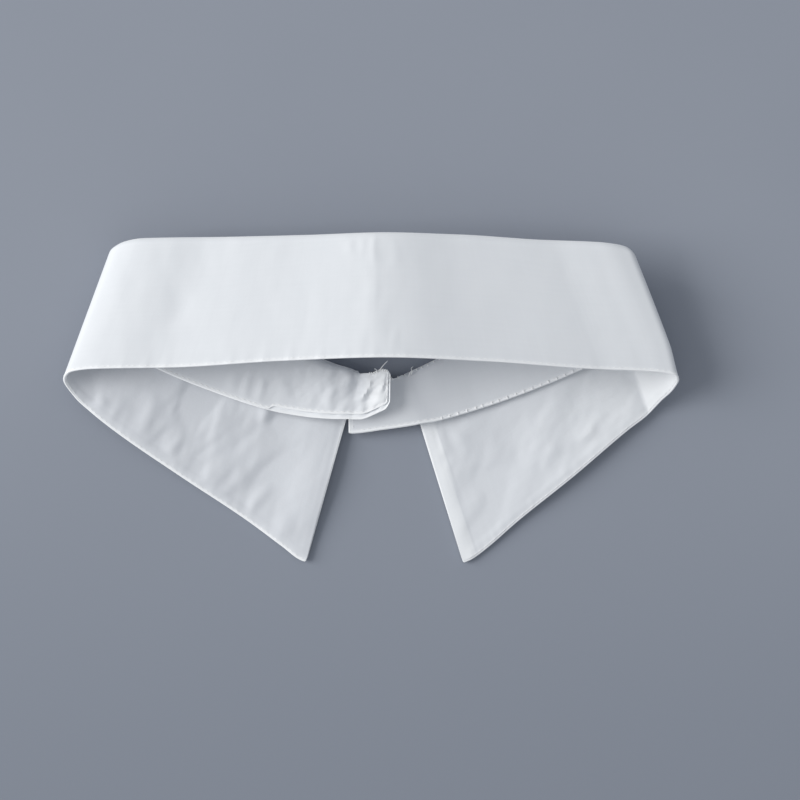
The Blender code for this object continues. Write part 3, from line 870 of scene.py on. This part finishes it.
def build_button_threads(look):
    """Strands through the four holes in two bars, up to the left end, and the buttonhole's edge."""
    middle = np.array(BUTTON_CENTRE) - OUTLINE_MIDDLE
    underside = FACES["outer_stand_cloth"][1].grid.reshape(-1, 3)
    close = underside[np.hypot(*(underside[:, :2] - middle).T) < 1.5]
    top_z = close[:, 2].max() - 0.05
    reach = BUTTON_HOLE_SPACING / 2
    strands = []
    for across in (-1, 1):
        for nudge in (-0.32, 0.0, 0.32):
            shape = np.array([(0.16, top_z), (0.2, 5.2), (0.45, 4.0), (0.98, 2.9), (1.0, 1.7),
                              (0.84, 1.22), (0.4, 1.12), (0.0, 1.1)])
            shape = np.vstack([shape, shape[-2::-1] * (-1, 1)])
            x = middle[0] + across * reach + nudge * np.clip(1.4 - shape[:, 1] / 6, 0.3, 1)
            x = x + (middle[0] - x) * smoothstep(3.0, 5.5, shape[:, 1])
            strands.append(np.column_stack([x, middle[1] + shape[:, 0] * reach, shape[:, 1]]))
    centres = np.array(strands)
    ups = np.broadcast_to([1.0, 0.0, 0.0], centres.shape)
    threads("button_threads", (centres, ups, np.full(centres.shape[:2], 0.17)), look)

    slit = np.linspace(-6.6, 6.6, 60)
    tilt = math.radians(10.0)
    worked = []
    for face_z, facing in ((RIGHT_HOLE_LOW_Z, -1.0), (RIGHT_HOLE_HIGH_Z, 1.0)):
        for off in (-0.75, 0.75):
            points = np.column_stack([
                middle[0] + slit * math.cos(tilt) - off * math.sin(tilt),
                middle[1] + slit * math.sin(tilt) + off * math.cos(tilt), slit * 0 + face_z])
            across = np.broadcast_to([-math.sin(tilt), math.cos(tilt), 0.0], points.shape)
            normals = np.broadcast_to([0.0, 0.0, facing], points.shape)
            worked.append(cross_stitches((points, normals), across, 0.36, 1.3, 0.17, 59))
    threads("buttonhole_stitches", joined(worked), look)


def build_loose_ends(look):
    """Thread ends left uncut, bent through given points and thinner at their ends."""
    at = np.linspace(0, 1, 22)
    centres = np.array([smooth_through(np.linspace(0, 1, len(run)), np.array(run), at)
                        for run in LOOSE_ENDS])
    taper = np.broadcast_to(0.14 * np.sqrt(1.02 - np.linspace(-1, 1, 22) ** 8), centres.shape[:2])
    threads("loose_thread_ends", (centres, np.broadcast_to([0.0, 0.3, 1.0], centres.shape), taper), look)


def node_group(name, inputs, outputs):
    """An empty shader node group with the named sockets."""
    group = bpy.data.node_groups.new(name, "ShaderNodeTree")
    for label, kind in inputs:
        group.interface.new_socket(label, in_out="INPUT", socket_type=kind)
    for label, kind in outputs:
        group.interface.new_socket(label, in_out="OUTPUT", socket_type=kind)
    return group, group.nodes.new("NodeGroupInput"), group.nodes.new("NodeGroupOutput")


def fill(tree, made, inputs):
    """Give a node's inputs, by name or place, their link or their own value."""
    for label, value in inputs.items():
        if isinstance(value, bpy.types.NodeSocket):
            tree.links.new(value, made.inputs[label])
        else:
            made.inputs[label].default_value = value


def add_node(tree, kind, inputs, **settings):
    """A shader node's outputs, with the node's settings and inputs given."""
    made = tree.nodes.new("ShaderNode" + kind)
    for label, value in settings.items():
        setattr(made, label, value)
    fill(tree, made, inputs)
    return made.outputs


def math_node(tree, operation, *values):
    """A math node with sockets or numbers for its inputs."""
    return add_node(tree, "Math", dict(enumerate(values)), operation=operation)[0]


def colour_mix(tree, factor, first, second):
    """A colour between two, by a mask."""
    return add_node(tree, "Mix", {"Factor": factor, 6: first, 7: second}, data_type="RGBA")[2]


def weave_group():
    """Plain weave: warp and weft threads that rise in turn, and slubs along both."""
    group, inputs, outputs = node_group(
        "plain_weave", [("Cloth", "NodeSocketVector"), ("Threads", "NodeSocketFloat")],
        [("Height", "NodeSocketFloat"), ("Slub", "NodeSocketFloat")])
    cloth = inputs.outputs["Cloth"]
    scaled = add_node(group, "VectorMath", {0: cloth, "Scale": inputs.outputs["Threads"]},
                      operation="SCALE")
    parts = add_node(group, "SeparateXYZ", {0: scaled[0]})
    warp, weft = (math_node(group, "SINE", math_node(group, "MULTIPLY", parts[axis], math.pi))
                  for axis in "XY")
    slubs = []
    for stretch in ((900.0, 35.0, 1.0), (35.0, 900.0, 1.0)):
        place = add_node(group, "Mapping", {"Scale": stretch, "Vector": cloth})
        slubs.append(add_node(group, "TexNoise", {"Scale": 1.0, "Detail": 2.0, "Vector": place[0]})["Fac"])
    fill(group, outputs, {"Height": math_node(group, "MULTIPLY", warp, weft),
                          "Slub": math_node(group, "MULTIPLY", math_node(group, "ADD", *slubs), 0.5)})
    return group


def mottle_group():
    """Uneven whiteness from pressing and handling: broad soft patches, 0 to 1."""
    group, inputs, outputs = node_group(
        "pressing_mottle", [("Place", "NodeSocketVector"), ("Size", "NodeSocketFloat")],
        [("Patch", "NodeSocketFloat")])
    noise = add_node(group, "TexNoise", {"Detail": 3.0, "Roughness": 0.55, "Scale": inputs.outputs["Size"],
                                         "Vector": inputs.outputs["Place"]})
    fill(group, outputs, {"Patch": noise["Fac"]})
    return group


def start_material(name):
    """A new material, its node tree and its shader."""
    made = bpy.data.materials.new(name)
    made.use_nodes = True
    return made, made.node_tree, made.node_tree.nodes["Principled BSDF"]


def patches_of(tree, mottle, size):
    """The mottle's patches at a size, and the place on the object that they are read from."""
    place = add_node(tree, "TexCoord", {})["Object"]
    return add_node(tree, "Group", {"Size": size, "Place": place}, node_tree=mottle)["Patch"], place


def poplin_material(weave, mottle):
    """White cotton poplin: fine plain weave, faint slubs, whiter along the folded edges, partly from the
    folded cloth and partly as painted highlight, with painted shade and highlight in its whiteness.
    """
    made, tree, shader = start_material("poplin")
    cloth = add_node(tree, "UVMap", {}, uv_map="cloth")["UV"]
    woven = add_node(tree, "Group", {"Threads": 3600.0, "Cloth": cloth}, node_tree=weave)
    patch, _ = patches_of(tree, mottle, 55.0)
    edge, plies_and_painted_light = (add_node(tree, "Attribute", {}, attribute_name=name)["Fac"]
                    for name in ("edge_white_and_highlight", "plies_and_painted_light"))
    # The tones of thin and thick plies; their mix by the whiteness attribute also paints shade and
    # highlight.
    few_plies_and_shade = colour_mix(tree, patch, (0.612, 0.634, 0.680, 1.0), (0.640, 0.660, 0.702, 1.0))
    many_plies_and_light = colour_mix(tree, patch, (0.772, 0.796, 0.832, 1.0), (0.802, 0.822, 0.854, 1.0))
    slubbed = add_node(tree, "VectorMath", {
        0: colour_mix(tree, plies_and_painted_light, few_plies_and_shade, many_plies_and_light),
        "Scale": math_node(tree, "MULTIPLY_ADD", woven["Slub"], 0.05, 0.975)}, operation="SCALE")
    bump = add_node(tree, "Bump", {"Strength": 0.22, "Distance": 0.00004, "Height": woven["Height"]})
    bump = add_node(tree, "Bump", {"Strength": 0.3, "Distance": 0.00008, "Height": woven["Slub"],
                                   "Normal": bump["Normal"]})
    # The edge colour is partly folded cloth, partly painted highlight along the edges and over the roll.
    fill(tree, shader, {
        "Base Color": colour_mix(tree, edge, slubbed[0], (0.93, 0.945, 0.965, 1.0)),
        "Normal": bump["Normal"], "Roughness": 0.78, "Specular IOR Level": 0.28,
        "Sheen Weight": 0.18, "Sheen Roughness": 0.45})
    return made


def thread_material():
    """White sewing cotton, a little brighter and smoother than the cloth."""
    made, tree, shader = start_material("sewing_cotton")
    fill(tree, shader, {"Base Color": (0.92, 0.925, 0.93, 1.0), "Roughness": 0.62, "Sheen Weight": 0.2})
    return made


def pearl_material(mottle):
    """A pearly plastic: soft cloudy bands under a clear gloss."""
    made, tree, shader = start_material("pearl_plastic_finish")
    cloud, _ = patches_of(tree, mottle, 420.0)
    fill(tree, shader, {
        "Base Color": colour_mix(tree, cloud, (0.70, 0.70, 0.68, 1.0), (0.92, 0.91, 0.88, 1.0)),
        "Roughness": 0.28, "Coat Weight": 0.5, "Coat Roughness": 0.12})
    return made


def floor_material(mottle):
    """A plain matt surface in a pale blue grey, painted a little darker towards the viewer: painted shade
    where the light falls off.
    """
    made, tree, shader = start_material("plain_surface")
    patch, place = patches_of(tree, mottle, 9.0)
    plain = colour_mix(tree, patch, (0.276, 0.302, 0.359, 1.0), (0.296, 0.322, 0.379, 1.0))
    # Darker towards the viewer: painted shade for the lamp's fall-off.
    nearer = add_node(tree, "MapRange", {
        "Value": add_node(tree, "SeparateXYZ", {0: place})["Y"], "From Min": 0.06, "From Max": -0.17,
        "To Min": 0.0, "To Max": 1.0}, interpolation_type="SMOOTHSTEP")
    fill(tree, shader, {"Roughness": 0.75,
                        "Base Color": colour_mix(tree, nearer[0], plain, (0.229, 0.254, 0.306, 1.0))})
    return made


def build_surroundings(floor_look):
    """Floor, light from the left, and the camera, which looks straight down from one metre."""
    mesh = bpy.data.meshes.new("floor")
    mesh.from_pydata([(x * FLOOR_HALF, y * FLOOR_HALF, FLOOR_Z)
                      for x, y in ((-1, -1), (1, -1), (1, 1), (-1, 1))], [], [(0, 1, 2, 3)])
    mesh.materials.append(floor_look)
    put("floor", mesh)

    scene = bpy.context.scene
    scene.world = bpy.data.worlds.new("studio")
    scene.world.use_nodes = True
    fill(scene.world.node_tree, scene.world.node_tree.nodes["Background"],
         {"Color": SKY_COLOUR, "Strength": WORLD_STRENGTH})
    lamp = bpy.data.lights.new("key", "AREA")
    lamp.shape, lamp.size, lamp.energy, lamp.color = "SQUARE", KEY_SIZE, KEY_POWER, KEY_COLOUR
    holder = put("key", lamp)
    holder.location = KEY_PLACE
    away = unit(np.array(KEY_PLACE) - KEY_AIM)
    holder.rotation_euler = (math.acos(away[2]), 0.0, math.atan2(away[1], away[0]) + math.pi / 2)

    camera = bpy.data.cameras.new("camera")
    camera.sensor_width = 36.0
    camera.lens = CAMERA_HEIGHT / PHOTO_WIDTH * camera.sensor_width
    holder = put("camera", camera)
    holder.location = (CAMERA_X, 0.0, CAMERA_HEIGHT)
    scene.camera = holder
    scene.view_settings.view_transform = "Standard"


def main():
    """Build every piece of cloth and sewing, then the surroundings."""
    weave, mottle = weave_group(), mottle_group()
    cloth = poplin_material(weave, mottle)
    build_leaf(cloth)
    build_band(cloth)
    build_sewing(thread_material())
    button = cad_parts["button"]
    button.data.materials.clear()
    button.data.materials.append(pearl_material(mottle))
    build_surroundings(floor_material(mottle))


main()
